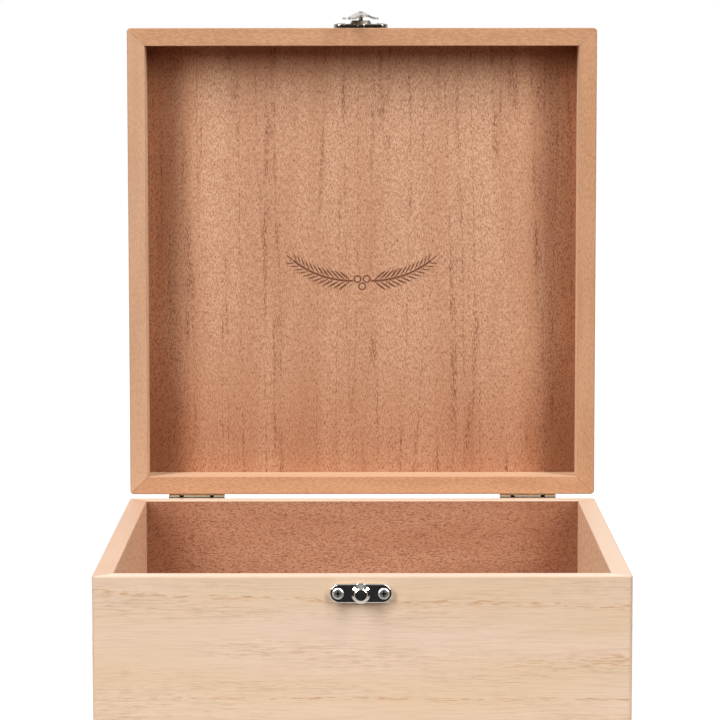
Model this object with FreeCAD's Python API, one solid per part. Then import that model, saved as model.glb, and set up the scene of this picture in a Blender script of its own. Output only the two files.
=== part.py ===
# A square wooden keepsake box whose hinged lid stands open, upright on its hinge stops.
# Boards are mitred at the corners, the floor and the lid panel sit in rebates, two butt
# hinges join the lid to the back, and a swing-arm clasp on the front holds it shut.
# The origin is the centre of the face it rests on: +X is right, +Y is back, +Z is up.

import FreeCAD, Part
import math
import os

from FreeCAD import Vector

# Box: outer sizes, boards and their edges
box_width = 300.0
box_depth = 300.0
base_height = 122.0
lid_height = 28.0
wall = 11.4
floor_thickness = 5.0
lid_panel_thickness = 6.0
rebate_width = 5.5
panel_clearance = 0.1
mitre_gap = 0.12
corner_radius = 2.4
arris_radius = 0.7
rim_ease = 0.3
rim_gap = 0.2
lid_open_angle = 90.0

# Hinges: two leaves, three knuckles and a pin each; a stop lug fills each gap between knuckles
hinge_inset = 43.0
hinge_length = 36.0
leaf_width = 12.5
leaf_thickness = 0.9
leaf_corner_radius = 1.5
pin_diameter = 2.0
pin_clearance = 0.05
pin_end_chamfer = 0.25
barrel_gap = 0.25
leaf_cutback_gap = 0.45
outer_knuckle_length = 7.0
knuckle_relief = 2.6
stop_lug_length = 6.0
stop_lug_end_gap = 0.15
stop_lug_reach = 4.4
stop_gap = 0.05

# Hinge screws: round heads on the leaves
hinge_screw_spacing = 23.0
hinge_screw_offset = 7.8
hinge_screw_diameter = 2.2
hinge_screw_length = 8.0
hinge_screw_head_diameter = 4.6
hinge_screw_head_height = 1.3

# Clasp and catch plates: straight sides, round ends and a round swelling in the middle
plate_length = 34.5
plate_width = 10.8
plate_thickness = 2.6
plate_edge_radius = 0.9
plate_swell_diameter = 11.8
boss_base_length = 13.8
boss_base_width = 9.2
boss_top_length = 11.2
boss_top_width = 7.2
boss_height = 2.2
clasp_offset = -0.75
catch_drop = 9.2
clasp_rise = 7.4

# Clasp screws: bevelled heads that stand a little above their conical seats
seat_mouth_diameter = 6.7
clasp_screw_spacing = 25.4
clasp_screw_diameter = 2.4
clasp_screw_length = 9.0
clasp_screw_head_diameter = 6.4
clasp_screw_face_diameter = 4.8
clasp_screw_rise = 0.6

# Sizes that all screws share
screw_tip_length = 2.5
screw_hole_clearance = 0.05
screw_hole_spare_depth = 0.5
recess_width = 0.8
recess_length = 3.0
recess_depth = 0.9

# Catch knob: a flared and waisted stud that the hook goes round
knob_tenon_diameter = 3.2
knob_flare_diameter = 10.6
knob_flare_edge = 0.3
knob_neck_diameter = 4.0
knob_head_diameter = 7.8
knob_head_edge = 0.4
knob_shoulder_radius = 1.3
knob_crown = 0.3

# Swing arm and its shouldered rivet
arm_thickness = 1.4
arm_boss_gap = 0.5
arm_head_gap = 0.4
arm_crown_rise = 3.4
arm_crown_radius = 11.0
arm_hub_diameter = 11.3
arm_rest_angle = 24.0
hook_clearance = 0.5
hook_bar_width = 2.4
hook_tip_diameter = 2.4
hook_tip_angle = 9.0
hook_bulge = 0.8
hook_waist_share = 0.55
knob_passing_gap = 0.6
tab_end_diameter = 4.8
tab_reach = 11.5
tab_root_width = 7.0
rivet_shoulder_diameter = 3.1
rivet_shank_diameter = 1.9
rivet_head_diameter = 4.2
rivet_head_height = 0.7
rivet_clearance = 0.05

# How far a cutting shape runs past the faces that it cuts
overrun = 1.0

# Places worked out from the sizes above
half_width = box_width / 2
half_depth = box_depth / 2
lid_rim_z = base_height + rim_gap
lid_top_z = lid_rim_z + lid_height
knuckle_bore_radius = pin_diameter / 2 + pin_clearance
knuckle_radius = knuckle_bore_radius + leaf_thickness
hinge_offset = knuckle_radius + barrel_gap
hinge_y = half_depth + hinge_offset
hinge_z = base_height + rim_gap / 2
leaf_cutback = knuckle_radius + leaf_cutback_gap
middle_knuckle_half = hinge_length / 2 - outer_knuckle_length - knuckle_relief
boss_top = plate_thickness + boss_height
arm_level = boss_top + arm_boss_gap
neck_top = arm_level + arm_thickness + arm_head_gap
arm_top = arm_level + arm_thickness + arm_crown_rise
arm_curve_radius = (arm_crown_radius**2 + arm_crown_rise**2) / (4 * arm_crown_rise)
seat_sink = (seat_mouth_diameter - clasp_screw_head_diameter) / 2 - screw_hole_clearance
hook_reach = catch_drop + rim_gap + clasp_rise
hook_slot_radius = knob_neck_diameter / 2 + hook_clearance
hook_ring_radius = hook_slot_radius + hook_bar_width
catch_z = base_height - catch_drop
clasp_z = lid_rim_z + clasp_rise

X_AXIS = Vector(1, 0, 0)
Z_AXIS = Vector(0, 0, 1)
ORIGIN = Vector(0, 0, 0)
FULL_TURN = 360
QUARTER_TURN = 90


# Shared shapes


def block(x, y, z):
    """A box between two limits along each axis."""
    return Part.makeBox(x[1] - x[0], y[1] - y[0], z[1] - z[0], Vector(x[0], y[0], z[0]))


def rectangle(half_x, half_y, z):
    """A rectangular wire about the Z axis."""
    corners = [(-half_x, -half_y), (half_x, -half_y), (half_x, half_y), (-half_x, half_y)]
    points = [Vector(x, y, z) for x, y in corners]
    return Part.makePolygon(points + points[:1])


def prism(points, z):
    """A flat outline, given as straight runs, raised between two heights."""
    corners = [Vector(px, py, z[0]) for px, py in points]
    return Part.Face(Part.makePolygon(corners + corners[:1])).extrude(Z_AXIS * (z[1] - z[0]))


def raised(edges, z):
    """A flat outline of lines and arcs at height zero, raised between two heights."""
    face = Part.Face(Part.Wire(Part.__sortEdges__([edge.toShape() for edge in edges])))
    face.translate(Z_AXIS * z[0])
    return face.extrude(Z_AXIS * (z[1] - z[0]))


def disc(radius, z, x=0, y=0):
    """A round disc between two heights."""
    return Part.makeCylinder(radius, z[1] - z[0], Vector(x, y, z[0]))


def line(start, end):
    """A straight edge between two (radius, height) points of a turned profile."""
    return Part.LineSegment(Vector(start[0], 0, start[1]), Vector(end[0], 0, end[1]))


def crown(radius, z, height):
    """The arc of a shallow dome, from its edge at height z up to the axis."""
    sphere = (radius**2 + height**2) / (2 * height)
    half = math.asin(radius / sphere) / 2
    middle = (sphere * math.sin(half), z + height - sphere * (1 - math.cos(half)))
    return Part.Arc(Vector(radius, 0, z), Vector(middle[0], 0, middle[1]), Vector(0, 0, z + height))


def turned(edges):
    """A solid turned about the Z axis from a closed profile in the XZ plane."""
    profile = Part.Wire(Part.__sortEdges__([edge.toShape() for edge in edges]))
    return Part.Face(profile).revolve(ORIGIN, Z_AXIS, FULL_TURN)


def along_x(radius, x, y, z):
    """A round bar along X between two limits, centred on the line at y and z."""
    return Part.makeCylinder(radius, x[1] - x[0], Vector(x[0], y, z), X_AXIS)


def on_front(shape, z, x=0):
    """A piece modelled flat on the XY plane, set on the front face at the clasp's line and a height."""
    placed = shape.copy()
    placed.rotate(ORIGIN, X_AXIS, QUARTER_TURN)
    placed.translate(Vector(clasp_offset + x, -half_depth, z))
    return placed


def on_back(shape, z, x=0):
    """A piece modelled flat on the XY plane, set on the back face at a height."""
    placed = shape.copy()
    placed.rotate(ORIGIN, X_AXIS, -QUARTER_TURN)
    placed.translate(Vector(x, half_depth, z))
    return placed


def opened(shape):
    """A piece of the closed lid, swung open about the hinge pins."""
    swung = shape.copy()
    swung.rotate(Vector(0, hinge_y, hinge_z), X_AXIS, -lid_open_angle)
    return swung


def cut_all(shape, tools):
    """A shape with every tool cut out of it."""
    for tool in tools:
        shape = shape.cut(tool)
    return shape


# Boards


def board_ring(z, rebate_z, rim_z, into_rim):
    """The four boards of a frame as one ring: rounded outside, rebated, with an eased rim."""
    outer = block((-half_width, half_width), (-half_depth, half_depth), z)
    uprights = [edge for edge in outer.Edges if edge.BoundBox.ZLength > corner_radius]
    outer = outer.makeFillet(corner_radius, uprights)
    arrises = [edge for edge in outer.Edges if edge.BoundBox.ZLength < arris_radius]
    outer = outer.makeFillet(arris_radius, arrises)
    inner_x = half_width - wall
    inner_y = half_depth - wall
    through = (z[0] - overrun, z[1] + overrun)
    hollow = block((-inner_x, inner_x), (-inner_y, inner_y), through)
    seat_x = inner_x + rebate_width
    seat_y = inner_y + rebate_width
    seat = block((-seat_x, seat_x), (-seat_y, seat_y), rebate_z)
    narrow = rectangle(inner_x, inner_y, rim_z + into_rim * rim_ease)
    wide = rectangle(inner_x + rim_ease, inner_y + rim_ease, rim_z)
    ease = Part.makeLoft([narrow, wide], True, True)
    return cut_all(outer, [hollow, seat, ease])


def mitred(ring, z):
    """The ring cut at its corners into front, back, left and right boards, a glue line apart."""
    out_x = half_width + overrun
    out_y = half_depth + overrun
    in_x = half_width - wall - overrun
    in_y = half_depth - wall - overrun
    trim = mitre_gap * math.sqrt(1 / 2)
    front = [(trim - out_x, -out_y), (out_x - trim, -out_y), (in_x - trim, -in_y), (trim - in_x, -in_y)]
    right = [(out_x, trim - out_y), (out_x, out_y - trim), (in_x, in_y - trim), (in_x, trim - in_y)]
    outlines = {
        "front": front,
        "back": [(-x, -y) for x, y in front],
        "right": right,
        "left": [(-x, -y) for x, y in right],
    }
    limits = (z[0] - overrun, z[1] + overrun)
    return {side: ring.common(prism(points, limits)) for side, points in outlines.items()}


def panel(z):
    """A flat panel that lies in the rebates of the boards."""
    reach_x = half_width - wall + rebate_width - panel_clearance
    reach_y = half_depth - wall + rebate_width - panel_clearance
    return block((-reach_x, reach_x), (-reach_y, reach_y), z)


def base_boards():
    """The four walls of the base."""
    height = (0, base_height)
    ring = board_ring(height, (-overrun, floor_thickness), base_height, -1)
    return mitred(ring, height)


def lid_rails():
    """The four rails of the lid, in its closed place."""
    height = (lid_rim_z, lid_top_z)
    seat = (lid_top_z - lid_panel_thickness, lid_top_z + overrun)
    ring = board_ring(height, seat, lid_rim_z, 1)
    return mitred(ring, height)


# Screws, each standing on the XY plane with its head up


def cross_recess(top):
    """The cutter of a cross recess that opens at a height."""
    depth = (top - recess_depth, top + overrun)
    long = (-recess_length / 2, recess_length / 2)
    short = (-recess_width / 2, recess_width / 2)
    return block(long, short, depth).fuse(block(short, long, depth))


def round_head_screw():
    """A hinge screw: a domed head that sits on the leaf, and a pointed shank."""
    shank = hinge_screw_diameter / 2
    head = hinge_screw_head_diameter / 2
    tip = -hinge_screw_length
    profile = [
        line((0, tip), (shank, tip + screw_tip_length)),
        line((shank, tip + screw_tip_length), (shank, 0)),
        line((shank, 0), (head, 0)),
        crown(head, 0, hinge_screw_head_height),
        line((0, hinge_screw_head_height), (0, tip)),
    ]
    return turned(profile).cut(cross_recess(hinge_screw_head_height))


def bevelled_head_screw():
    """A clasp screw: a sunk cone under a bevelled flat head, and a pointed shank."""
    shank = clasp_screw_diameter / 2
    head = clasp_screw_head_diameter / 2
    face = clasp_screw_face_diameter / 2
    tip = -clasp_screw_length
    profile = [
        line((0, tip), (shank, tip + screw_tip_length)),
        line((shank, tip + screw_tip_length), (shank, shank - head)),
        line((shank, shank - head), (head, 0)),
        line((head, 0), (face, clasp_screw_rise)),
        line((face, clasp_screw_rise), (0, clasp_screw_rise)),
        line((0, clasp_screw_rise), (0, tip)),
    ]
    return turned(profile).cut(cross_recess(clasp_screw_rise))


def screw_hole(diameter, length, surface):
    """The cutter of a screw's hole, from a surface down past the screw's tip."""
    bottom = surface - length - screw_hole_spare_depth
    return disc(diameter / 2 + screw_hole_clearance, (bottom, surface + overrun))


def sunk_head_seat():
    """The cutter of a sunk screw's conical seat in a plate, below the plate's top face."""
    mouth = seat_mouth_diameter / 2
    shank = clasp_screw_diameter / 2 + screw_hole_clearance
    depth = mouth - shank
    cone = Part.makeCone(shank, mouth, depth, Vector(0, 0, -depth))
    through = disc(shank, (-plate_thickness - overrun, 0))
    return cone.fuse(through).fuse(disc(mouth, (0, overrun)))


# Hinges: the leaves are drawn in the closed place, where both lie on the back


def leaf_plate(z):
    """A leaf's flat plate on the back face between two heights."""
    half = hinge_length / 2
    plate = block((-half, half), (half_depth, half_depth + leaf_thickness), z)
    far = z[0] if abs(z[0] - hinge_z) > abs(z[1] - hinge_z) else z[1]
    corners = [
        edge
        for edge in plate.Edges
        if all(abs(vertex.Z - far) < leaf_corner_radius for vertex in edge.Vertexes)
        and abs(edge.Vertexes[0].X - edge.Vertexes[1].X) < leaf_corner_radius
    ]
    return plate.makeFillet(leaf_corner_radius, corners)


def leaf(side, knuckles):
    """A leaf that reaches up (side 1) or down (side -1) from the pin, with its knuckles."""
    heights = sorted([hinge_z + side * leaf_cutback, hinge_z + side * leaf_width])
    shape = leaf_plate(heights)
    plate_y = (half_depth, half_depth + leaf_thickness)
    for x in knuckles:
        tongue = sorted([hinge_z + side * barrel_gap, hinge_z + side * (leaf_cutback + overrun)])
        shape = shape.fuse(block(x, plate_y, tongue))
        shape = shape.fuse(along_x(knuckle_radius, x, hinge_y, hinge_z))
    half = hinge_length / 2
    bore = along_x(knuckle_bore_radius, (-half - overrun, half + overrun), hinge_y, hinge_z)
    holes = [
        on_back(screw_hole(hinge_screw_diameter, leaf_thickness, leaf_thickness), z, x)
        for x, z in leaf_screw_places(side)
    ]
    return cut_all(shape, [bore] + holes).removeSplitter()


def outer_spans():
    """Where the two outer knuckles lie along the hinge."""
    half = hinge_length / 2
    return [(-half, outer_knuckle_length - half), (half - outer_knuckle_length, half)]


def lug_spans():
    """Where the stop lugs lie: behind an outer knuckle and the gap beside it."""
    inner = middle_knuckle_half + stop_lug_end_gap
    return [(-inner - stop_lug_length, -inner), (inner, inner + stop_lug_length)]


def leaf_screw_places(side):
    """Where a leaf's two screws stand on the back face, along the hinge and in height."""
    z = hinge_z + side * hinge_screw_offset
    return [(-hinge_screw_spacing / 2, z), (hinge_screw_spacing / 2, z)]


def base_leaf():
    """The leaf on the base: the outer knuckles, each with a lug that stops the lid upright."""
    shape = leaf(-1, outer_spans())
    lug_top = hinge_z + hinge_offset - leaf_thickness - stop_gap
    lug_y = (hinge_y + knuckle_bore_radius, hinge_y + stop_lug_reach)
    for x in lug_spans():
        shape = shape.fuse(block(x, lug_y, (lug_top - leaf_thickness, lug_top)))
    return shape.removeSplitter()


def lid_leaf():
    """The leaf on the lid: the middle knuckle."""
    return leaf(1, [(-middle_knuckle_half, middle_knuckle_half)])


def hinge_pin():
    """The pin through a hinge's three knuckles."""
    half = hinge_length / 2
    pin = along_x(pin_diameter / 2, (-half, half), hinge_y, hinge_z)
    rims = [edge for edge in pin.Edges if len(edge.Vertexes) == 1]
    return pin.makeChamfer(pin_end_chamfer, rims)


def leaf_screws(side):
    """The two screws of a leaf."""
    screw = round_head_screw()
    screw.translate(Z_AXIS * leaf_thickness)
    return Part.makeCompound([on_back(screw, z, x) for x, z in leaf_screw_places(side)])


def hinge_places():
    """The two hinges' names and centres along X, set in from the box's sides."""
    centre = half_width - hinge_inset
    return {"left": -centre, "right": centre}


def hinge_pilot_holes(side):
    """The holes in the boards for one side's hinge screws."""
    depth = hinge_screw_length - leaf_thickness
    cutter = screw_hole(hinge_screw_diameter, depth, 0)
    return [
        on_back(cutter, z, centre + x)
        for centre in hinge_places().values()
        for x, z in leaf_screw_places(side)
    ]


# Clasp: each piece is drawn flat on the XY plane, then set on the front


def stadium(length, width, thickness):
    """A plate with straight sides and round ends."""
    radius = width / 2
    run = length / 2 - radius
    left_top, left_foot = Vector(-run, radius, 0), Vector(-run, -radius, 0)
    right_top, right_foot = Vector(run, radius, 0), Vector(run, -radius, 0)
    edges = [
        Part.LineSegment(left_top, right_top),
        Part.Arc(right_top, Vector(length / 2, 0, 0), right_foot),
        Part.LineSegment(right_foot, left_foot),
        Part.Arc(left_foot, Vector(-length / 2, 0, 0), left_top),
    ]
    return raised(edges, (0, thickness))


def screw_plate(stud_diameter):
    """The plate that both halves of the clasp share, holed for its screws and its stud."""
    plate = stadium(plate_length, plate_width, plate_thickness)
    plate = plate.fuse(disc(plate_swell_diameter / 2, (0, plate_thickness))).removeSplitter()
    top_edges = [edge for edge in plate.Edges if edge.BoundBox.ZMin > plate_thickness / 2]
    plate = plate.makeFillet(plate_edge_radius, top_edges)
    cutters = [disc(stud_diameter / 2 + rivet_clearance, (-overrun, plate_thickness + overrun))]
    for x in clasp_screw_places():
        seat = sunk_head_seat()
        seat.translate(Vector(x, 0, plate_thickness))
        cutters.append(seat)
    return cut_all(plate, cutters)


def oval_wire(length, width, z):
    """An oval outline at a height."""
    oval = Part.Ellipse(Z_AXIS * z, length / 2, width / 2)
    return Part.Wire(oval.toShape())


def clasp_plate():
    """The lid's plate, with the raised boss that the swing arm's rivet stands on."""
    foot = oval_wire(boss_base_length, boss_base_width, plate_thickness)
    top = oval_wire(boss_top_length, boss_top_width, boss_top)
    boss = Part.makeLoft([foot, top], True, True)
    rivet = disc(rivet_shoulder_diameter / 2 + rivet_clearance, (0, boss_top + overrun))
    return screw_plate(rivet_shoulder_diameter).fuse(boss).cut(rivet).removeSplitter()


def clasp_screw_places():
    """Where a plate's two screws stand along it."""
    return [-clasp_screw_spacing / 2, clasp_screw_spacing / 2]


def clasp_screws(z):
    """The two screws of a plate on the front face."""
    screw = bevelled_head_screw()
    screw.translate(Z_AXIS * (plate_thickness - seat_sink))
    return Part.makeCompound([on_front(screw, z, x) for x in clasp_screw_places()])


def clasp_pilot_holes(z):
    """The holes in a board for one plate's screws."""
    cutter = screw_hole(clasp_screw_diameter, clasp_screw_length + seat_sink - plate_thickness, 0)
    return [on_front(cutter, z, x) for x in clasp_screw_places()]


def catch_knob():
    """The stud that the hook holds: a tenon in the plate, a flared foot, a neck and a head."""
    tenon = knob_tenon_diameter / 2
    flare = knob_flare_diameter / 2
    neck = knob_neck_diameter / 2
    head = knob_head_diameter / 2
    flare_rim = plate_thickness + knob_flare_edge
    rim = neck_top + knob_head_edge
    top = rim + knob_shoulder_radius
    flat = head - knob_shoulder_radius
    lean = knob_shoulder_radius * math.sqrt(1 / 2)
    shoulder = Vector(flat + lean, 0, rim + lean)
    profile = [
        line((0, 0), (tenon, 0)),
        line((tenon, 0), (tenon, plate_thickness)),
        line((tenon, plate_thickness), (flare, plate_thickness)),
        line((flare, plate_thickness), (flare, flare_rim)),
        line((flare, flare_rim), (neck, boss_top)),
        line((neck, boss_top), (neck, neck_top)),
        line((neck, neck_top), (head, neck_top)),
        line((head, neck_top), (head, rim)),
        Part.Arc(Vector(head, 0, rim), shoulder, Vector(flat, 0, top)),
        crown(flat, top, knob_crown),
        line((0, top + knob_crown), (0, 0)),
    ]
    return turned(profile)


def clasp_rivet():
    """The rivet that the swing arm turns on: a tenon and shoulder, a shank, and a domed head."""
    shoulder = rivet_shoulder_diameter / 2
    shank = rivet_shank_diameter / 2
    head = rivet_head_diameter / 2
    crown_drop = arm_curve_radius - math.sqrt(arm_curve_radius**2 - shoulder**2)
    shoulder_top = arm_top - arm_thickness - crown_drop - rivet_clearance
    head_seat = arm_top + rivet_clearance
    profile = [
        line((0, 0), (shoulder, 0)),
        line((shoulder, 0), (shoulder, shoulder_top)),
        line((shoulder, shoulder_top), (shank, shoulder_top)),
        line((shank, shoulder_top), (shank, head_seat)),
        line((shank, head_seat), (head, head_seat)),
        crown(head, head_seat, rivet_head_height),
        line((0, head_seat + rivet_head_height), (0, 0)),
    ]
    return turned(profile)


def bell_curve(top, reach):
    """The arm's section from its axis: a crown arc, a matching hollow arc, then a flat brim."""
    run = arm_crown_radius
    rise = arm_crown_rise
    half_turn = math.asin(run / 2 / arm_curve_radius) / 2
    side = arm_curve_radius * math.sin(half_turn)
    drop = arm_curve_radius * (1 - math.cos(half_turn))
    middle = Vector(run / 2, 0, top - rise / 2)
    foot = Vector(run, 0, top - rise)
    return [
        Part.Arc(Vector(0, 0, top), Vector(side, 0, top - drop), middle),
        Part.Arc(middle, Vector(run - side, 0, top - rise + drop), foot),
        Part.LineSegment(foot, Vector(reach, 0, top - rise)),
    ]


def arm_bell():
    """A turned sheet of the arm's thickness: domed over the rivet, flat where the hook is."""
    reach = hook_reach + hook_ring_radius + hook_tip_diameter
    brim = arm_level + arm_thickness
    ends = [line((0, arm_top - arm_thickness), (0, arm_top)), line((reach, arm_level), (reach, brim))]
    return turned(bell_curve(arm_top, reach) + bell_curve(arm_top - arm_thickness, reach) + ends)


def hook_shank(z):
    """The curved bar from the hub down to the hook, in the latched place."""
    hub = arm_hub_diameter / 2
    half_way = -hook_reach / 2
    left_top = Vector(-hub, 0, 0)
    left_foot = Vector(-hook_ring_radius, -hook_reach, 0)
    left_bulge = Vector(-(hub + hook_ring_radius) / 2 - hook_bulge, half_way, 0)
    right_foot = Vector(0, -hook_reach, 0)
    right_top = Vector(hub, 0, 0)
    waist = Vector((hook_waist_share * 2 - 1) * hub, half_way, 0)
    edges = [
        Part.Arc(left_top, left_bulge, left_foot),
        Part.LineSegment(left_foot, right_foot),
        Part.Arc(right_foot, waist, right_top),
        Part.LineSegment(right_top, left_top),
    ]
    return raised(edges, z)


def thumb_tab(z):
    """The tab that a thumb pushes, which points right when the arm rests in its open place."""
    end = tab_end_diameter / 2
    reach = tab_reach - end
    root = tab_root_width / 2
    bar = prism([(0, -root), (reach, -end), (reach, end), (0, root)], z)
    tab = bar.fuse(disc(end, z, reach))
    tab.rotate(ORIGIN, Z_AXIS, arm_rest_angle)
    return tab


def polar(radius, degrees):
    """A point at an angle from the latched hook's direction, which is straight down."""
    angle = math.radians(degrees)
    return radius * math.sin(angle), -radius * math.cos(angle)


def swing_arm():
    """The swing arm in its latched place: hub, hook and thumb tab, bent from one sheet."""
    z = (0, arm_top + overrun)
    tip = hook_tip_diameter / 2
    tip_x, tip_y = polar(hook_reach + hook_slot_radius + tip, hook_tip_angle)
    plan = disc(arm_hub_diameter / 2, z)
    for shape in [
        hook_shank(z),
        disc(hook_ring_radius, z, 0, -hook_reach),
        disc(tip, z, tip_x, tip_y),
        thumb_tab(z),
    ]:
        plan = plan.fuse(shape)
    knob_x, knob_y = polar(hook_reach, arm_rest_angle)
    slot = disc(hook_reach + hook_slot_radius, z).cut(disc(hook_reach - hook_slot_radius, z))
    way_out = prism([(0, 0), polar(2 * hook_reach, 0), polar(2 * hook_reach, QUARTER_TURN / 2)], z)
    cutters = [
        disc(hook_slot_radius, z, 0, -hook_reach),
        slot.common(way_out),
        disc(knob_head_diameter / 2 + knob_passing_gap, z, knob_x, knob_y),
        disc(rivet_shank_diameter / 2 + rivet_clearance, z),
    ]
    return cut_all(plan.common(arm_bell()), cutters).removeSplitter()


# The whole object


def base_pieces():
    """Every piece that stays with the base."""
    boards = base_boards()
    boards["front"] = cut_all(boards["front"], clasp_pilot_holes(catch_z))
    boards["back"] = cut_all(boards["back"], hinge_pilot_holes(-1))
    pieces = {f"base_{side}_wall": board for side, board in boards.items()}
    pieces["base_floor"] = panel((0, floor_thickness - panel_clearance))
    pieces["catch_plate"] = on_front(screw_plate(knob_tenon_diameter), catch_z)
    pieces["catch_knob"] = on_front(catch_knob(), catch_z)
    pieces["catch_plate_screws"] = clasp_screws(catch_z)
    for name, x in hinge_places().items():
        hinge = {"base_leaf": base_leaf(), "pin": hinge_pin(), "base_screws": leaf_screws(-1)}
        for kind, shape in hinge.items():
            shape.translate(X_AXIS * x)
            pieces[f"{name}_hinge_{kind}"] = shape
    return pieces


def lid_pieces():
    """Every piece that swings with the lid, in its closed place."""
    rails = lid_rails()
    rails["front"] = cut_all(rails["front"], clasp_pilot_holes(clasp_z))
    rails["back"] = cut_all(rails["back"], hinge_pilot_holes(1))
    pieces = {f"lid_{side}_rail": rail for side, rail in rails.items()}
    pieces["lid_panel"] = panel((lid_top_z - lid_panel_thickness + panel_clearance, lid_top_z))
    pieces["clasp_plate"] = on_front(clasp_plate(), clasp_z)
    pieces["clasp_rivet"] = on_front(clasp_rivet(), clasp_z)
    pieces["clasp_plate_screws"] = clasp_screws(clasp_z)
    arm = swing_arm()
    arm.rotate(ORIGIN, Z_AXIS, -arm_rest_angle)
    pieces["clasp_swing_arm"] = on_front(arm, clasp_z)
    for name, x in hinge_places().items():
        hinge = {"lid_leaf": lid_leaf(), "lid_screws": leaf_screws(1)}
        for kind, shape in hinge.items():
            shape.translate(X_AXIS * x)
            pieces[f"{name}_hinge_{kind}"] = shape
    return pieces


def main():
    """Builds every piece and writes each to its own file."""
    os.makedirs("parts", exist_ok=True)
    pieces = base_pieces()
    pieces.update({name: opened(shape) for name, shape in lid_pieces().items()})
    for name, shape in pieces.items():
        shape.exportStep(f"parts/{name}.step")
        solids = len(shape.Solids)
        print(f"{name}: {solids} solid, {shape.Volume:.1f} mm3, valid {shape.isValid()}")
    print(f"hinge axis y {hinge_y:.3f} z {hinge_z:.3f}")
    pivot_y = hinge_y + clasp_z - hinge_z
    print(f"arm pivot x {clasp_offset:.3f} y {pivot_y:.3f} z {hinge_z + hinge_y + half_depth:.3f}")


main()
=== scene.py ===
# %% [markdown]
# # A wooden keepsake box, standing open
# The box was drawn in CAD as boards, hinges and a clasp. This lesson loads those solids as a fixed
# frame and gives them their looks: a camera, soft studio light, wood, metal, and a small burnt
# design inside the lid. Objects are in metres, and every piece keeps the place the CAD gave it.
# Finishes are worked out in millimetres, because grain and darker edges are that small.

# %% Load the box
import math

import bpy
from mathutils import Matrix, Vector


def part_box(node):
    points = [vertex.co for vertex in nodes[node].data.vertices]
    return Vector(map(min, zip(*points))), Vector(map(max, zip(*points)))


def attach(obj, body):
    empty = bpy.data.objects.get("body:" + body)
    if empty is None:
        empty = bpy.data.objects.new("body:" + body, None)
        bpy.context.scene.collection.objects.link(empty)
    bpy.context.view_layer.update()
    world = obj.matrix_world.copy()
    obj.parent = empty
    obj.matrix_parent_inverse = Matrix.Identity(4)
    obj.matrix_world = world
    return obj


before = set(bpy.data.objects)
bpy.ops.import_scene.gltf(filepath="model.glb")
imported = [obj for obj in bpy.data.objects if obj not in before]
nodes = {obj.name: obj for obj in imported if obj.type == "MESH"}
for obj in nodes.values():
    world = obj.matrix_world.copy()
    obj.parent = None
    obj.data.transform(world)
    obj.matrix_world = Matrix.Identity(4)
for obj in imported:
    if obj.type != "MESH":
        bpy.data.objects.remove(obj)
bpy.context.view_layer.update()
mm = 0.001
mm_per_metre = 1000


def box_mm(node):
    """The lowest and the highest corner of a CAD node, in millimetres."""
    return [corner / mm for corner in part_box(node)]


def middle_mm(node):
    """The middle of a CAD node, in millimetres."""
    low, high = box_mm(node)
    return (low + high) / 2


# %% [markdown]
# ## Camera
# The photograph was taken from far off with a long lens, a little above the box: the boards hardly
# narrow towards the back. A long focal length from the right distance gives that flat look. A short
# lens up close would frame the box too, but would splay the base.

# %% Camera
lens_mm = 160.9
camera_place = (0.0001, -1.9098, 0.4225)
camera_degrees = (84.159, 0.041, 0.037)

bpy.ops.object.select_all(action="DESELECT")
bpy.ops.object.camera_add(location=camera_place, rotation=[math.radians(a) for a in camera_degrees])
camera = bpy.context.object
camera.name = "photo_camera"
camera.data.lens = lens_mm
bpy.context.scene.camera = camera
bpy.context.scene.view_settings.view_transform = "Standard"
print("camera", camera_place, "lens", lens_mm)

# %% [markdown]
# ## Shader sums
# Finishes are built from nodes. Adding nodes one by one hides the idea, so one small class wraps a
# socket and lets Python's own signs add the Math nodes: `1 - mask` or `grain * 0.5` read as sums.
# Every other node comes from a single method that sets the node's options and then its sockets.


# %% A socket that takes part in sums
class Link:
    """A number on a surface. A sum with it adds a Math node."""

    def __init__(self, shader, socket):
        self.shader = shader
        self.socket = socket

    def sum(self, operation, first, second=0.0):
        sockets = {"Value": first, "Value_001": second}
        return self.shader.node("ShaderNodeMath", {"operation": operation}, sockets)

    def __add__(self, other):
        return self.sum("ADD", self, other)

    def __radd__(self, other):
        return self.sum("ADD", other, self)

    def __sub__(self, other):
        return self.sum("SUBTRACT", self, other)

    def __rsub__(self, other):
        return self.sum("SUBTRACT", other, self)

    def __mul__(self, other):
        return self.sum("MULTIPLY", self, other)

    def __rmul__(self, other):
        return self.sum("MULTIPLY", other, self)

    def __truediv__(self, other):
        return self.sum("DIVIDE", self, other)

    def __abs__(self):
        return self.sum("ABSOLUTE", self)

    def __lt__(self, other):
        return self.sum("LESS_THAN", self, other)

    def __gt__(self, other):
        return self.sum("GREATER_THAN", self, other)

    def larger(self, other):
        return self.sum("MAXIMUM", self, other)

    def fraction(self):
        return self.sum("FRACT", self)


print("sums take the signs + - * / < > and abs, larger and fraction")

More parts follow.
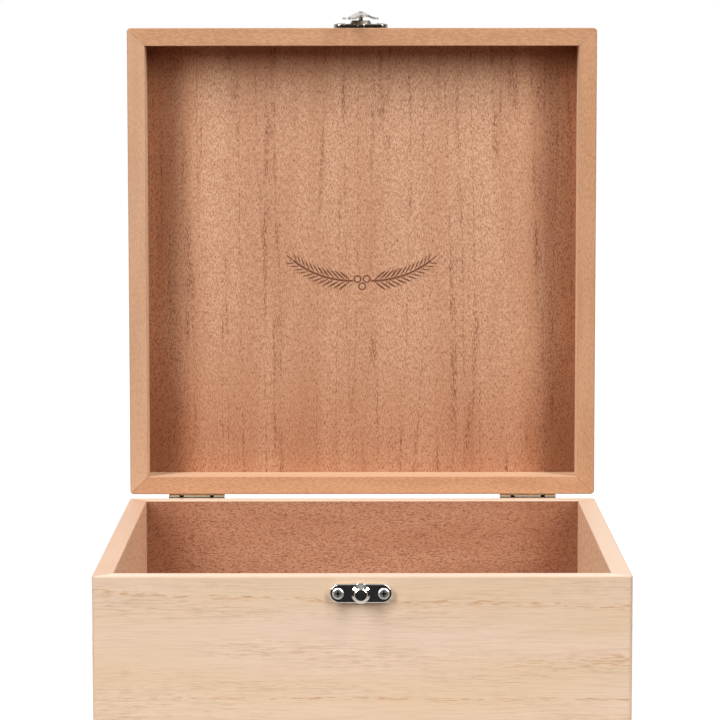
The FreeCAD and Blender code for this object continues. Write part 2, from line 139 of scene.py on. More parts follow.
# %% The node tree of one finish
class Shader:
    """Nodes of one finish, added by one method."""

    def __init__(self, owner):
        owner.use_nodes = True
        self.tree = owner.node_tree
        self.tree.nodes.clear()

    def node(self, kind, settings=None, sockets=None, out=None):
        """Adds a node, sets its options, then its sockets' values or links; gives one output."""
        node = self.tree.nodes.new(kind)
        for key, value in (settings or {}).items():
            setattr(node, key, value)
        inputs = {socket.identifier: socket for socket in node.inputs}
        for key, value in (sockets or {}).items():
            if isinstance(value, Link):
                self.tree.links.new(value.socket, inputs[key])
            else:
                inputs[key].default_value = value
        outputs = [s for s in node.outputs if s.enabled and out in (None, s.identifier)]
        return Link(self, outputs[0]) if outputs else None

    def mix(self, amount, first, second):
        """One colour over another."""
        settings = {"data_type": "RGBA"}
        sockets = {"Factor_Float": amount, "A_Color": first, "B_Color": second}
        return self.node("ShaderNodeMix", settings, sockets)

    def smooth(self, value, low, high):
        """A soft step from 0 at low to 1 at high."""
        settings = {"interpolation_type": "SMOOTHSTEP"}
        sockets = {"Value": value, "From Min": low, "From Max": high}
        return self.node("ShaderNodeMapRange", settings, sockets)

    def noise(self, x, y, z, detail=1.0):
        """Soft noise from 0 to 1 at a point."""
        point = self.node("ShaderNodeCombineXYZ", None, {"X": x, "Y": y, "Z": z})
        sockets = {"Vector": point, "Scale": 1.0, "Detail": detail}
        return self.node("ShaderNodeTexNoise", None, sockets, "Fac")

    def split(self, vector):
        """The three numbers of a vector."""
        separate = self.node("ShaderNodeSeparateXYZ", None, {"Vector": vector}).socket.node
        return [Link(self, socket) for socket in separate.outputs]

    def millimetres(self):
        """Where a point is on its piece, in millimetres."""
        place = self.node("ShaderNodeTexCoord", None, None, "Object")
        return [metres * mm_per_metre for metres in self.split(place)]


def colour(red, green, blue):
    """A colour as it looks on screen, 0 to 255, made linear by the sRGB curve as shaders take it."""
    linear = []
    for level in (red, green, blue):
        share = level / 255
        linear.append(share / 12.92 if share <= 0.04045 else ((share + 0.055) / 1.055) ** 2.4)
    return (*linear, 1.0)


print("shader sums ready; mid grey is", round(colour(128, 128, 128)[0], 3))

# %% [markdown]
# ## Studio light
# The shade inside the lid tells where the lamps stood. Each side rail shades a strip about as wide
# as the rail is deep, so a softbox stood on each side, half way round. The top rail shades a softer
# and darker band, so both stood high. Two tall area lamps give the same strips. A point lamp would be
# simpler, but its shade would have hard edges.

# %% Two softboxes
lamp_aim = Vector((0.0, 0.05, 0.25))
lamp_size = (0.7, 2.6)
lamp_aside = 1.7
lamp_front_y = -1.3
lamp_height = 1.9
left_watts = 80.0
right_watts = 65.5


def softbox(name, side, watts):
    """A soft rectangular lamp on one side of the box, turned to face it."""
    place = Vector((side * lamp_aside, lamp_front_y, lamp_height))
    facing = (lamp_aim - place).to_track_quat("-Z", "Y").to_euler()
    bpy.ops.object.select_all(action="DESELECT")
    bpy.ops.object.light_add(type="AREA", location=place, rotation=facing)
    lamp = bpy.context.object
    lamp.name = name
    lamp.data.shape = "RECTANGLE"
    lamp.data.size, lamp.data.size_y = lamp_size
    lamp.data.energy = watts
    print(name, "at", [round(metres, 2) for metres in place], "watts", watts)


softbox("left_softbox", -1, left_watts)
softbox("right_softbox", 1, right_watts)

# %% [markdown]
# ### The room
# Between the lamps the room is dim in front, so the shade inside the box stays deep. A pale sheet far
# behind lights the back of the box, which the camera doesn't see, and the plated metal mirrors that
# sheet and a pale ceiling. To the eye the room is plain white. Walls could be built for all this, but
# the world's own colour can do it: its shader asks which kind of ray looks, and in which direction.

# %% The room as a world
white = colour(255, 255, 255)
room_light = 0.005
glow_light = 0.6
sheet_light = 2.0
room_mirrored = 0.04
sheet_mirrored = 0.85
ceiling_mirrored = 0.45
# Where each of these begins and is full, on a scale from 0, level with the box, to 1, straight
# behind or above it.
glow_reach = (0.0, 0.8)
sheet_reach = (0.6, 0.95)
mirrored_reach = (0.0, 0.5)
ceiling_reach = (0.5, 0.8)


def rays(shader):
    """1 on rays that the eye follows, also through glass, and 1 on rays off a glossy face."""
    kinds = ("Camera", "Transmission", "Glossy")
    eye, through, glossy = [
        shader.node("ShaderNodeLightPath", None, None, f"Is {kind} Ray") for kind in kinds
    ]
    return eye.larger(through), glossy


studio = bpy.data.worlds.new("studio")
bpy.context.scene.world = studio
air = Shader(studio)
toward = air.node("ShaderNodeTexCoord", None, None, "Generated")
back, up = air.split(toward)[1:]
seen, glossy = rays(air)
behind = air.smooth(back, *glow_reach) * glow_light + air.smooth(back, *sheet_reach) * sheet_light
overhead = air.smooth(up, *ceiling_reach) * ceiling_mirrored
mirrored = room_mirrored + overhead.larger(air.smooth(back, *mirrored_reach) * sheet_mirrored)
level = seen + (1 - seen) * (glossy * mirrored + (1 - glossy) * (room_light + behind))
backdrop = air.node("ShaderNodeBackground", None, {"Color": white, "Strength": level})
air.node("ShaderNodeOutputWorld", None, {"Surface": backdrop})
print("studio world with", len(air.tree.nodes), "nodes")

# %% [markdown]
# ## Floor
# The box stands on a white table that runs out of sight. A plain white sheet under these lamps would
# come out grey, and stronger lamps would bleach the wood. So the sheet also glows a little for the
# eye and for mirrors, but not for the light that reaches the box. Only the sheet near the box throws
# lamp light back on it. The box's own shadow stays.

# %% White table
table_size = 12.0
glow_near = 0.86
glow_far = 1.0
glow_radii = (400.0, 1800.0)
bounce_near = colour(186, 186, 184)
bounce_far = colour(60, 60, 60)
bounce_radii = (330.0, 520.0)
seen_grey = colour(130, 130, 130)
mirror_front = 0.03
mirror_behind = 0.9
mirror_reach = (-320.0, -200.0)

bpy.ops.object.select_all(action="DESELECT")
bpy.ops.mesh.primitive_plane_add(size=table_size, location=(0, 0, 0))
table = bpy.context.object
table.name = "white_table"
table_sheet = bpy.data.materials.new("table_sheet")
sheet = Shader(table_sheet)
x, y = sheet.millimetres()[:2]
seen, glossy = rays(sheet)
away = x * x + y * y
far = sheet.smooth(away, *[radius**2 for radius in glow_radii])
beside = sheet.smooth(away, *[radius**2 for radius in bounce_radii])
cloth = sheet.mix(seen, sheet.mix(beside, bounce_near, bounce_far), seen_grey)
glow = seen * (glow_near + far * (glow_far - glow_near))
lit = sheet.node("ShaderNodeBsdfDiffuse", None, {"Color": cloth})
glowing = sheet.node("ShaderNodeEmission", None, {"Color": white, "Strength": glow})
direct = sheet.node("ShaderNodeAddShader", None, {"Shader": lit, "Shader_001": glowing})
shine = mirror_front + sheet.smooth(y, *mirror_reach) * mirror_behind
in_mirror = sheet.node("ShaderNodeEmission", None, {"Color": white, "Strength": shine})
sockets = {"Fac": glossy, "Shader": direct, "Shader_001": in_mirror}
table_look = sheet.node("ShaderNodeMixShader", None, sockets)
sheet.node("ShaderNodeOutputMaterial", None, {"Surface": table_look})
table.data.materials.append(table_sheet)
print("table", table_size, "m wide")

# %% [markdown]
# ## Wood
# All the boards are one pale, light wood. Outside it is planed, its rims are sawn, and inside it is
# lined with a reddish veneer. A flat picture could not follow the grain round the corners, so the
# pattern is a solid one: noise in three dimensions, stretched along the board, and each face cuts
# through it. Which finish a face gets is asked of its place, and the places come from the CAD.

# %% Faces of the boards
face_margin = 0.06
eased_edge = 0.35
rounded_edge = 0.75
wall_low, wall_high = box_mm("base_right_wall")
half_inside = wall_low.x + face_margin
half_outside = wall_high.x
base_rim_z = wall_high.z
lid_rim_y = box_mm("lid_front_rail")[0].y
lid_centre_z = middle_mm("lid_panel").z


def base_outline(x, y, z):
    """How far out a point of the base lies, as half the width of a square."""
    return abs(x).larger(abs(y))


def lid_outline(x, y, z):
    """How far out a point of the lid lies, as half the width of a square."""
    return abs(x).larger(abs(z - lid_centre_z))


def base_inside(x, y, z):
    """1 on the faces that look into the base."""
    return (base_outline(x, y, z) < half_inside) * (z < base_rim_z - eased_edge)


def base_rim(x, y, z):
    """1 on the top edge of the base."""
    return z > base_rim_z - eased_edge


def lid_inside(x, y, z):
    """1 on the faces that look into the lid."""
    return (lid_outline(x, y, z) < half_inside) * (y > lid_rim_y + eased_edge)


def lid_rim(x, y, z):
    """1 on the edge of the lid that meets the base, with its rounded corner."""
    return y < lid_rim_y + rounded_edge


print("the lid's rim stands at", round(lid_rim_y, 2), "mm and the base's at", round(base_rim_z, 2), "mm")

# %% [markdown]
# ### Planed outside
# A planed face shows fine lines along the board, some close together and some far apart, over patches
# of pinker and yellower wood. A few broken brown streaks mark where a year's growth ends. Blender's
# Wave texture draws rings at one even spacing, so the years here are steps cut from one slow noise,
# and a faster noise breaks them into dashes.

# %% Planed outside
planed_pink = colour(240, 210, 186)
planed_straw = colour(235, 204, 172)
planed_line = colour(214, 180, 148)
planed_grey = colour(200, 165, 131)
streak_brown = colour(208, 156, 108)
planed_sway = 9.0
planed_jitter = 0.5
years_per_wave = 6
line_calm, line_busy = 0.32, 0.25
thread_calm, thread_busy = 0.08, 0.36
streak_strength = 0.75


def grain(shader, place, width, length, detail=1.0, layer=None):
    """Noise drawn out along a board: flecks of a width, a length and, if not as wide, a thickness."""
    across, depth, along = place
    return shader.noise(across / width, depth / (layer or width), along / length, detail)


def planed_face(shader, board):
    """Planed wood: patches of tone, fine lines along the board and a few broken streaks."""
    across, depth, along = board
    sway = grain(shader, board, width=60, length=160) - 0.5
    jitter = grain(shader, board, width=4, length=9) - 0.5
    line = (across + sway * planed_sway + jitter * planed_jitter, depth, along)
    patch = shader.smooth(grain(shader, line, width=30, length=220, detail=2.0, layer=40), 0.35, 0.65)
    fine = shader.smooth(grain(shader, line, width=0.6, length=24), 0.42, 0.7)
    thread = shader.smooth(grain(shader, line, width=0.7, length=8), 0.53, 0.65)
    busy = shader.smooth(grain(shader, line, width=16, length=150), 0.46, 0.7)
    growth = grain(shader, line, width=44, length=1600, detail=0.0, layer=60)
    late = shader.smooth((growth * years_per_wave).fraction(), 0.8, 0.94)
    dashes = shader.smooth(grain(shader, line, width=0.6, length=7), 0.48, 0.66)
    tone = shader.mix(patch, planed_pink, planed_straw)
    tone = shader.mix(fine * (line_calm + busy * line_busy), tone, planed_line)
    tone = shader.mix(thread * (thread_calm + busy * thread_busy), tone, planed_grey)
    return shader.mix(late * dashes * streak_strength, tone, streak_brown)


print("planed outside, with", years_per_wave, "years to a wave of the noise")

# %% [markdown]
# ### Sawn rims
# The rims show no planed lines, only a warm tone with a fine fleck that runs with the grain. Their outer
# edge is darker, and on the base they are paler: partly their own pale wood, partly painted sheen. Two
# noises of different length, added together, give a fleck that also drifts along the board.

# %% Sawn rims
rim_pale = colour(214, 164, 127)
rim_warm = colour(196, 144, 107)
# Darker brown along the outer edge of every rim.
rim_edge_brown = colour(172, 126, 92)
# Paler rim colour: partly the base's own pale wood, partly painted sheen.
pale_rim_and_sheen = colour(238, 215, 192)
fleck_share = 0.7


def sawn_rim(shader, board):
    """A sawn edge: plain and warm, with a fine fleck that runs with the grain."""
    fleck = grain(shader, board, width=0.8, length=2.5, detail=2.0)
    drift = grain(shader, board, width=9, length=70)
    speckle = shader.smooth(fleck * fleck_share + drift * (1 - fleck_share), 0.35, 0.65)
    return shader.mix(speckle, rim_pale, rim_warm)


print("sawn rims, where a fleck counts for", fleck_share)

# %% [markdown]
# ### Lining veneer
# The veneer inside is open-pored: a sandy fleck all over, short dark pores, and longer ones that stand
# in loose straight rows. It took a red stain unevenly, and painted shade darkens it further where rails
# and walls shade it. The rows are the places where one slow noise passes its middle value, which gives
# thin wandering lines without drawing any of them.

# %% Lining veneer
lining_pale = colour(223, 178, 145)
lining_red = colour(182, 125, 91)
lining_deep = colour(140, 92, 60)
pore_brown = colour(122, 68, 46)
lining_sway = 9.0
patch_stain = 0.35
row_width = 0.045
grit_strength = 0.75
pore_strength = 0.7


def lining_face(shader, board, stain_and_shade, flecked, rowed):
    """Open-pored veneer: a sandy fleck, redder stain with painted shade, and dark pores in loose
    straight rows.
    """
    across, depth, along = board
    sway = grain(shader, board, width=80, length=220) - 0.5
    line = (across + sway * lining_sway, depth, along)
    patch = shader.smooth(grain(shader, line, width=22, length=200, detail=2.0), 0.35, 0.7)
    sand = grain(shader, board, width=0.7, length=1.4)
    row = abs(grain(shader, line, width=11, length=500) - 0.5)
    ebb = shader.smooth(grain(shader, line, width=5, length=30), 0.35, 0.65)
    rows = (1 - shader.smooth(row, 0.0, row_width)) * ebb
    vessels = shader.smooth(grain(shader, line, width=0.5, length=3), 0.46, 0.6)
    pores = shader.smooth(grain(shader, board, width=0.6, length=2.6), 0.59, 0.68)
    grit = shader.smooth(sand, 0.48, 0.68) * shader.smooth(stain_and_shade, 0.2, 1.0)
    # The stain's share also carries painted shade from rails and walls.
    tone = shader.mix(patch * patch_stain + stain_and_shade, lining_pale, lining_red)
    tone = shader.mix(shader.smooth(sand, 0.36, 0.64) * flecked, tone, lining_red)
    tone = shader.mix(shader.smooth(stain_and_shade, 0.7, 1.7), tone, lining_deep)
    tone = shader.mix(grit * grit_strength, tone, pore_brown)
    return shader.mix((pores * pore_strength).larger(vessels * rows * rowed), tone, pore_brown)


print("lining veneer, with pores at", pore_strength, "of their full brown")

# %% Where the stain took, and where shade is painted
base_redness = 0.5
# Painted shade: the base's lining darkens towards its ends.
base_shaded_ends, base_end_shade = (90.0, 138.0), 0.65
# Painted shade of the side rails along the panel's sides.
panel_shaded_sides, panel_side_shade = (95.0, 137.0), 0.85
panel_foot, panel_foot_redness = (140.0, 240.0), 0.5
# Painted shade of the top rail on the panel's head.
panel_shaded_head, panel_head_shade = (385.0, 412.0), 0.55


def even_stain(shader, x, y, z):
    """Boards that took stain evenly everywhere, with no painted shade."""
    return 0.0


def base_stain_and_shade(shader, x, y, z):
    """The base's lining is redder, and painted shade darkens it towards its ends, where the side walls
    shade it.
    """
    return base_redness + shader.smooth(abs(x), *base_shaded_ends) * base_end_shade


def panel_stain_and_shade(shader, x, y, z):
    """The lid's panel is redder at its foot, with painted shade of the rails along its sides and head.
    """
    sides = shader.smooth(abs(x), *panel_shaded_sides) * panel_side_shade
    foot = (1 - shader.smooth(z, *panel_foot)) * panel_foot_redness
    return sides + foot + shader.smooth(z, *panel_shaded_head) * panel_head_shade


# The head's darker, redder tone is painted shade from the top rail.
print("the panel's head is redder from", panel_shaded_head[0], "mm up")

# %% [markdown]
# ### One wood for every board
# Each board is cut from its own place in the wood, so no two show the same lines. Their looks differ
# in a few things only: how much veneer shows, how pale the rim is with painted sheen, how pale the
# inside is with painted light, how red the stain with its painted shade, and how much the wood shines.
# A material drawn by hand for each board would drift apart, so one function makes them all and a board
# names only what is special about it.


# %% How a finish ends, and where it goes
def surface(shader, tint, rough, bump, constants=None):
    """Ends a finish: its colour, its roughness, and a bump's height, strength and depth in metres."""
    height, strength, depth = bump
    relief = {"Strength": strength, "Distance": depth, "Height": height}
    normal = shader.node("ShaderNodeBump", None, relief)
    sockets = {"Base Color": tint, "Roughness": rough, "Normal": normal, **(constants or {})}
    principled = shader.node("ShaderNodeBsdfPrincipled", None, sockets)
    shader.node("ShaderNodeOutputMaterial", None, {"Surface": principled})


def give(material, names):
    """Puts a finish on CAD nodes."""
    for name in names:
        nodes[name].data.materials.clear()
        nodes[name].data.materials.append(material)


print("finishes can go on", len(nodes), "nodes")

# %% One wood for every board
plain_look = {
    "lined": 1.0,
    "stain_and_shade": even_stain,
    "flecked": 0.7,
    "rowed": 0.85,
    "streaked": 0.0,
    "rim_paleness_and_sheen": 0.0,
    "inner_painted_light": 0.0,
    "gloss": 0.5,
    "outline": base_outline,
}
# Where the darker outer edge begins and is full, in mm in from the outside, and how dark it gets.
edge_dark_begins, edge_dark_full, edge_dark_strength = 1.2, 0.2, 0.3
planed_rough, fibre_rough, rim_smoother, inside_smoother = 0.64, 0.2, 0.24, 0.12
fibre_bump, fibre_depth = 0.25, 0.2 * mm


def wood(name, run, start, inside, rim, **special):
    """A board's wood: where its grain runs, where its pattern starts, its faces and its look."""
    look = {**plain_look, **special}
    material = bpy.data.materials.new(name)
    shader = Shader(material)
    x, y, z = shader.millimetres()
    place = {"X": (z, y, x), "Y": (z, x, y), "Z": (x, y, z)}[run]
    board = [millimetres + start for millimetres in place]
    is_rim = rim(x, y, z)
    is_inside = inside(x, y, z)

    sawn = sawn_rim(shader, board)
    outer_edge = shader.smooth(look["outline"](x, y, z), half_outside - edge_dark_begins, half_outside - edge_dark_full)
    # The rim's share paints it paler: partly pale wood, partly painted sheen.
    edge = shader.mix(look["rim_paleness_and_sheen"], sawn, pale_rim_and_sheen)
    # Darker along the outer edge of each rim.
    edge = shader.mix(outer_edge * edge_dark_strength, edge, rim_edge_brown)

    stain_and_shade = look["stain_and_shade"](shader, x, y, z)
    lining = lining_face(shader, board, stain_and_shade, look["flecked"], look["rowed"])
    streaks = shader.smooth(grain(shader, place, width=2.2, length=9, detail=2.0), 0.42, 0.62)
    within = shader.mix(1 - look["lined"], lining, sawn)
    # Painted light: the inner faces are mixed towards pale planed wood.
    within = shader.mix(look["inner_painted_light"], within, planed_straw)
    within = shader.mix(streaks * look["streaked"], within, lining_red)

    face = shader.mix(is_rim, planed_face(shader, board), edge)
    face = shader.mix(is_inside, face, within)
    fibre = grain(shader, place, width=0.8, length=14, detail=2.0)
    bump = (fibre, fibre_bump, fibre_depth)
    rough = planed_rough + fibre * fibre_rough - is_rim * rim_smoother - is_inside * inside_smoother
    surface(shader, face, rough, bump, {"Specular IOR Level": look["gloss"]})
    print(name, "has", len(shader.tree.nodes), "nodes")
    return material


print("a board can differ in", sorted(plain_look))

# %% [markdown]
# ### The boards
# The rims of the base are nearly white in front and at the back: partly their own pale wood, partly
# painted sheen. The inner sides show streaked bare wood under a thin lining, painted paler as painted
# light. The lid's rails are not lined at all, their inner faces are painted paler as painted light,
# and the lid shines less than the base. The panel and the floor sit in rebates, so they have two faces
# and no rim.

# %% Boards of the base
base = {"inside": base_inside, "rim": base_rim, "flecked": 0.85, "rowed": 0.3}
ends = {**base, "stain_and_shade": base_stain_and_shade}
sides = {**base, "lined": 0.4, "streaked": 0.45}
# Rim shares paint sheen on the base's rims; inner shares paint light on its inner sides.
for wall, run, start, look in (
    ("front", "X", 40.0, {**ends, "rim_paleness_and_sheen": 0.95}),
    ("back", "X", 410.0, {**ends, "rim_paleness_and_sheen": 0.92}),
    ("left", "Y", 790.0, {**sides, "rim_paleness_and_sheen": 0.36, "inner_painted_light": 0.62}),
    ("right", "Y", 1130.0, {**sides, "rim_paleness_and_sheen": 0.66, "inner_painted_light": 0.68}),
):
    give(wood(f"{wall}_wall_wood", run, start, **look), [f"base_{wall}_wall"])

# %% Rails of the lid
lid_gloss = 0.25
lid = {"inside": lid_inside, "rim": lid_rim, "outline": lid_outline, "lined": 0.0, "gloss": lid_gloss}
# Inner shares paint light on the rails' inner faces; the left rim gets a little painted sheen.
for rail, run, start, look in (
    ("front", "X", 1520.0, {}),
    ("back", "X", 1910.0, {"inner_painted_light": 0.55}),
    ("left", "Z", 2270.0, {"rim_paleness_and_sheen": 0.15, "inner_painted_light": 0.7}),
    ("right", "Z", 2630.0, {"inner_painted_light": 0.7}),
):
    give(wood(f"lid_{rail}_wood", run, start, **lid, **look), [f"lid_{rail}_rail"])

# %% Panels
panel_face_y = box_mm("lid_panel")[0].y
panel_skin = 0.6
floor_face_z = box_mm("base_floor")[1].z
floor_skin = 0.9


def panel_inside(x, y, z):
    """1 on the face of the lid panel that looks into the lid."""
    return y < panel_face_y + panel_skin


def floor_inside(x, y, z):
    """1 on the face of the floor that looks into the base."""
    return z > floor_face_z - floor_skin


def no_rim(x, y, z):
    """A panel has no rim of its own."""
    return 0.0


for panel, run, start, look in (
    ("lid_panel", "Z", 3050.0, {"inside": panel_inside, "stain_and_shade": panel_stain_and_shade, "gloss": lid_gloss}),
    ("base_floor", "X", 3410.0, {"inside": floor_inside, "stain_and_shade": base_stain_and_shade}),
):
    give(wood(f"{panel}_wood", run, start, rim=no_rim, **look), [panel])

# %% [markdown]
# ## Metal
# The catch is bright nickel plate: nearly a mirror, so it is mostly what stands round it, white
# softboxes and table against the dark room in front. The clasp plate is duller and its pressed boss is
# hazy, the swing arm and the clasp's screws are satin, and the hinges are a yellower plate. All are
# metals, so their colour goes into the reflection. A cloudy noise stands for tarnish, and a very thin
# stretched one for scratches. Painted shade, near black, darkens the cross recesses of the screws and
# the gaps between a hinge's knuckles. It could be painted on by hand, but its place follows from the
# boxes of the screws and the pin, so it stays on them if the CAD changes.

# %% Where the metal has painted shade or is hazy
clasp_x = middle_mm("catch_plate").x
catch_screw_low, catch_screw_high = box_mm("catch_plate_screws")
head_radius = (catch_screw_high.z - catch_screw_low.z) / 2
screw_from_centre = (catch_screw_high.x - catch_screw_low.x) / 2 - head_radius
catch_screw_z = middle_mm("catch_plate_screws").z
clasp_screw_y = middle_mm("clasp_plate_screws").y
clasp_screw_top = box_mm("clasp_plate_screws")[1].z
# How far the painted shade of a screw recess reaches.
recess_reach = 1.7
recess_skin = 0.15
boss_height = 2.1
boss_low_z = box_mm("clasp_plate")[1].z - boss_height
hinge_x, pin_y, pin_z = middle_mm("right_hinge_pin")
gap_from_centre = 9.7
gap_half_width = 1.35
# Painted shade between the knuckles: above the pin, and up to this far behind it.
shade_above_pin = 0.4
shade_behind_pin = 1.9


def nowhere(x, y, z):
    """Metal that is alike all over."""
    return 0.0


def clasp_boss(x, y, z):
    """The raised boss of the clasp plate, which lost its polish in the press."""
    return z > boss_low_z


def hinge_gap_shade(x, y, z):
    """Painted shade, near black, in the two gaps between a hinge's knuckles."""
    off_gap = abs(abs(abs(x) - hinge_x) - gap_from_centre)
    return (off_gap < gap_half_width) * (z > pin_z + shade_above_pin) * (y < pin_y + shade_behind_pin)


def screw_side(x):
    """How far a point lies from the nearer screw's axis, along the plate."""
    return abs(abs(x - clasp_x) - screw_from_centre)


def catch_recess_shade(x, y, z):
    """Painted shade in the cross recesses of the catch plate's screws."""
    off_screw = screw_side(x).larger(abs(z - catch_screw_z))
    return (off_screw < recess_reach) * (y > catch_screw_low.y + recess_skin)


def clasp_recess_shade(x, y, z):
    """Painted shade in the cross recesses of the clasp plate's screws."""
    off_screw = screw_side(x).larger(abs(y - clasp_screw_y))
    return (off_screw < recess_reach) * (z < clasp_screw_top - recess_skin)


print("screws lie", round(screw_from_centre, 2), "mm from the middle of their plate")

# %% Plated metals
# Near black for painted shade in recesses and knuckle gaps.
painted_shade_black = colour(14, 10, 8)
nickel_tones = colour(228, 225, 220), colour(205, 198, 188)
dull_tones = colour(172, 165, 154), colour(132, 124, 112)
hinge_tones = colour(230, 219, 196), colour(212, 197, 168)
polished = (0.05, 0.12)
dulled = (0.16, 0.24)
tarnished = (0.18, 0.26)
satin = (0.4, 0.48)
cloud_size = 3.0
scratch_length, scratch_width = 4.0, 0.15
scratch_rough = 0.04
boss_haze = 0.32
scratch_bump, scratch_depth = 0.06, 0.05 * mm


def plated(name, tones, roughness, painted_shade=nowhere, haze=nowhere):
    """A plated metal of a clean and a tarnished tone and roughness, with fine scratches."""
    material = bpy.data.materials.new(name)
    shader = Shader(material)
    x, y, z = shader.millimetres()
    smoothest, roughest = roughness
    tarnish = shader.noise(x / cloud_size, y / cloud_size, z / cloud_size, detail=3.0)
    cloud = shader.smooth(tarnish, 0.4, 0.75)
    scratch = shader.noise(x / scratch_length, y / scratch_width, z / scratch_width, detail=2.0)
    hazy = haze(x, y, z)
    tint = shader.mix(cloud.larger(hazy), *tones)
    # Painted shade: near black where the shade mask says.
    tint = shader.mix(painted_shade(x, y, z), tint, painted_shade_black)
    rough = smoothest + cloud * (roughest - smoothest) + scratch * scratch_rough + hazy * boss_haze
    surface(shader, tint, rough, (scratch, scratch_bump, scratch_depth), {"Metallic": 1.0})
    print(name, "has", len(shader.tree.nodes), "nodes")
    return material


print("nickel's roughness is", polished, "where polished and", satin, "where satin")

# %% Metal on the pieces
give(plated("bright_nickel", nickel_tones, polished), ["catch_plate", "catch_knob", "clasp_rivet"])
give(plated("satin_nickel", nickel_tones, satin), ["clasp_swing_arm"])
give(plated("catch_screw_nickel", nickel_tones, satin, catch_recess_shade), ["catch_plate_screws"])
give(plated("clasp_screw_nickel", nickel_tones, satin, clasp_recess_shade), ["clasp_plate_screws"])
give(plated("dull_nickel", dull_tones, dulled, haze=clasp_boss), ["clasp_plate"])
hinge_plate = plated("hinge_plate", hinge_tones, tarnished, hinge_gap_shade)
give(hinge_plate, [name for name in nodes if "hinge" in name])

# %% [markdown]
# ## Burnt design
# Such a lid often carries a small design inside, burnt in with a laser. Here it is a plain swag of
# fir: two sprigs that mirror each other, with three ring-shaped berries between them. The panel's
# shader could paint the burn, but thin strips of mesh stay crisp at any distance. Each stroke is drawn
# flat in the plane of the panel, and at the end all of them get about a tenth of a millimetre of
# thickness.

# %% Flat strokes
hair = 0.01 * mm
quarter_turn = math.radians(90)


def flat_strip(name, x0, x1, width):
    """A flat strip along X that faces the front, with its far end selected in edit mode."""
    bpy.ops.object.select_all(action="DESELECT")
    bpy.ops.mesh.primitive_plane_add(size=1, rotation=(quarter_turn, 0, 0))
    strip = bpy.context.object
    strip.name = name
    bpy.ops.object.transform_apply(location=True, rotation=True, scale=True)
    bpy.ops.object.mode_set(mode="EDIT")
    bpy.ops.transform.resize(value=(x1 - x0, 1, width), center_override=(0, 0, 0))
    bpy.ops.transform.translate(value=((x0 + x1) / 2, 0, 0))
    bpy.ops.object.mode_set(mode="OBJECT")
    for part in (strip.data.polygons, strip.data.edges, strip.data.vertices):
        part.foreach_set("select", [False] * len(part))
    for edge in strip.data.edges:
        corners = [strip.data.vertices[i] for i in edge.vertices]
        if all(corner.co.x > x1 - hair for corner in corners):
            for part in (edge, *corners):
                part.select = True
    bpy.ops.object.mode_set(mode="EDIT")
    return strip


def pick(piece):
    """Makes a piece the only one selected."""
    bpy.ops.object.select_all(action="DESELECT")
    piece.select_set(True)
    bpy.context.view_layer.objects.active = piece


def put(piece, x, z, turn=0.0, size=1.0):
    """Moves a piece to a place, turned and resized in the panel's plane."""
    piece.location = (x, 0, z)
    piece.rotation_euler = (0, -turn, 0)
    piece.scale = (size, 1, size)


def flat_copy(piece, *place):
    """A copy with its own mesh, put in a place."""
    pick(piece)
    bpy.ops.object.duplicate()
    copy = bpy.context.object
    put(copy, *place)
    return copy


def joined(piece, others):
    """One piece of several, its place in its mesh."""
    pick(piece)
    for other in others:
        other.select_set(True)
    bpy.ops.object.join()
    bpy.ops.object.transform_apply(location=True, rotation=True, scale=True)


print("strokes will lie on the panel's face at", round(panel_face_y, 2), "mm")

# %% [markdown]
# ### Sprigs
# A fir needle is a narrow leaf: it swells from its root and ends in a point. It is drawn once as a
# strip whose end is extruded and resized three times. The stem is a strip spun through part of a
# circle. Pairs of needles lean out from it and get smaller towards the tip, where the last needle goes
# on in line. The second sprig is a copy, turned over by a negative size.

# %% One needle
needle_root = 0.8 * mm
needle_width = 0.65 * mm
needle_steps = ((2.6 * mm, 1.8), (2.8 * mm, 0.8), (1.8 * mm, 0.25))
needle = flat_strip("needle", 0.0, needle_root, needle_width)
for reach, widening in needle_steps:
    bpy.ops.mesh.extrude_region_move(TRANSFORM_OT_translate={"value": (reach, 0, 0)})
    bpy.ops.transform.resize(value=(1, 1, widening), center_override=(0, 0, 0))
bpy.ops.object.mode_set(mode="OBJECT")
print("a needle has", len(needle.data.polygons), "faces")

# %% One sprig
stem_start = 6.4 * mm
stem_stub = 0.4 * mm
stem_low_z = 261 * mm
stem_radius = 62 * mm
stem_width = 1.3 * mm
stem_turn = math.radians(38)
stem_steps = 18
needle_pairs = 12
first_pair = 0.6
needle_lean = math.radians(38)
needle_gap = 0.3 * mm
largest_needle, needle_shrink, tip_needle = 1.1, 0.45, 0.7


def on_stem(turn, aside=0.0):
    """A point beside the stem, at a turn from its lowest end."""
    radius = stem_radius - aside
    return stem_start + radius * math.sin(turn), stem_low_z + stem_radius - radius * math.cos(turn)


sprig = flat_strip("burnt_sprig_right", -stem_stub, 0.0, stem_width)
bpy.ops.mesh.spin(steps=stem_steps, angle=stem_turn, center=(0, 0, stem_radius), axis=(0, 1, 0))
bpy.ops.object.mode_set(mode="OBJECT")
put(sprig, stem_start, stem_low_z)
needles = []
for pair in range(needle_pairs):
    share = (pair + first_pair) / needle_pairs
    turn = share * stem_turn
    size = largest_needle - needle_shrink * share
    for side in (1, -1):
        root = on_stem(turn, side * (stem_width / 2 + needle_gap))
        needles.append(flat_copy(needle, *root, turn + side * needle_lean, size))
put(needle, *on_stem(stem_turn + needle_gap / stem_radius), stem_turn, tip_needle)
needles.append(needle)
joined(sprig, needles)
sprig_reach = max(point.co.x for point in sprig.data.vertices)
print("sprig of", len(needles), "needles reaches", round(sprig_reach, 4), "m")

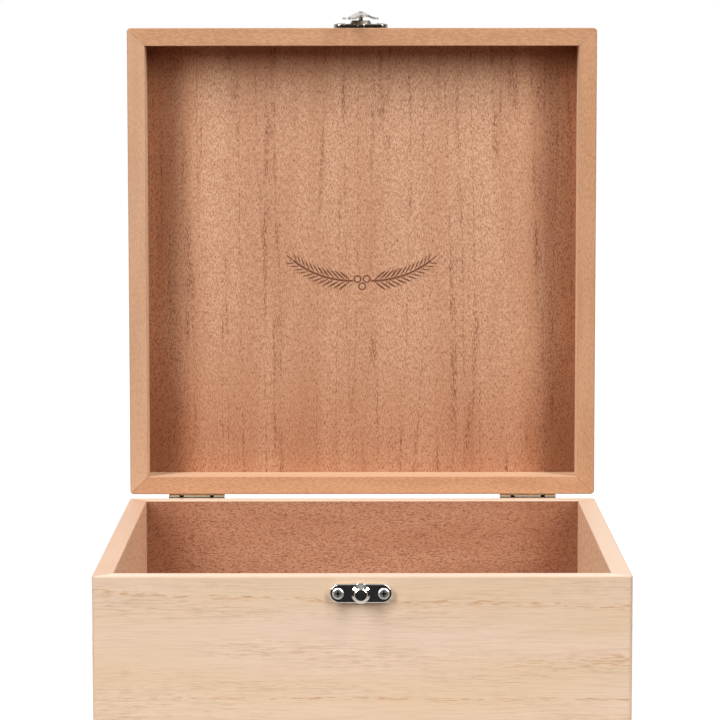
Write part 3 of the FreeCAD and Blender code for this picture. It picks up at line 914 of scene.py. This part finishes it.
# %% The sprig that mirrors it
mirrored_sprig = flat_copy(sprig, 0, 0)
mirrored_sprig.name = "burnt_sprig_left"
bpy.ops.object.mode_set(mode="EDIT")
bpy.ops.mesh.select_all(action="SELECT")
bpy.ops.transform.resize(value=(-1, 1, 1), center_override=(0, 0, 0))
bpy.ops.object.mode_set(mode="OBJECT")
print("mirrored sprig reaches", round(min(point.co.x for point in mirrored_sprig.data.vertices), 4), "m")

# %% [markdown]
# ### Berries
# The berries are burnt as rings, not filled, so that they stay light beside the needles. A flat disc
# is inset by the width of the stroke and its middle deleted. A torus would also be a ring, but a round
# one, where a burn is flat.

# %% Three berries
berry_radius = 2.6 * mm
berry_stroke = 0.9 * mm
berry_corners = 32
berry_aside, berry_rise, berry_drop = 3.0 * mm, 1.2 * mm, 3.6 * mm
bpy.ops.object.select_all(action="DESELECT")
bpy.ops.mesh.primitive_circle_add(
    vertices=berry_corners, radius=berry_radius, fill_type="NGON", rotation=(quarter_turn, 0, 0)
)
berry = bpy.context.object
berry.name = "burnt_berries"
bpy.ops.object.transform_apply(location=True, rotation=True, scale=True)
bpy.ops.object.mode_set(mode="EDIT")
bpy.ops.mesh.select_all(action="SELECT")
bpy.ops.mesh.inset(thickness=berry_stroke)
bpy.ops.mesh.delete(type="FACE")
bpy.ops.object.mode_set(mode="OBJECT")
upper_berries = [flat_copy(berry, side * berry_aside, stem_low_z + berry_rise) for side in (-1, 1)]
put(berry, 0, stem_low_z - berry_drop)
joined(berry, upper_berries)
print("berries of", len(berry.data.polygons), "faces")

# %% [markdown]
# ### The burn
# Burnt wood is charred brown, lighter where the grain was hard, and rough. The flat strokes get their
# thickness with half of it sunk in the panel, so no edge floats. The mirrored sprig was turned inside
# out by its negative size, so all faces are made to point outwards again. The design rides on the lid.

# %% Burnt wood
char_dark = colour(104, 60, 40)
char_light = colour(142, 90, 62)
char_rough, char_rougher = 0.6, 0.3
char_bump, char_depth = 0.3, 0.1 * mm
burn_thickness = 0.12 * mm

burnt = bpy.data.materials.new("burnt_wood")
shader = Shader(burnt)
x, y, z = shader.millimetres()
char = grain(shader, (x, y, z), width=0.7, length=2.5, detail=2.0)
tint = shader.mix(shader.smooth(char, 0.35, 0.7), char_dark, char_light)
surface(shader, tint, char_rough + char * char_rougher, (char, char_bump, char_depth))
for piece in (sprig, mirrored_sprig, berry):
    pick(piece)
    bpy.ops.object.modifier_add(type="SOLIDIFY")
    solidify = piece.modifiers[-1]
    solidify.thickness = burn_thickness
    solidify.offset = 0.0
    bpy.ops.object.modifier_apply(modifier=solidify.name)
    bpy.ops.object.mode_set(mode="EDIT")
    bpy.ops.mesh.select_all(action="SELECT")
    bpy.ops.mesh.normals_make_consistent(inside=False)
    bpy.ops.transform.translate(value=(0, panel_face_y * mm, 0))
    bpy.ops.object.mode_set(mode="OBJECT")
    piece.data.materials.append(burnt)
    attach(piece, "lid")
    print(piece.name, "has", len(piece.data.polygons), "faces")
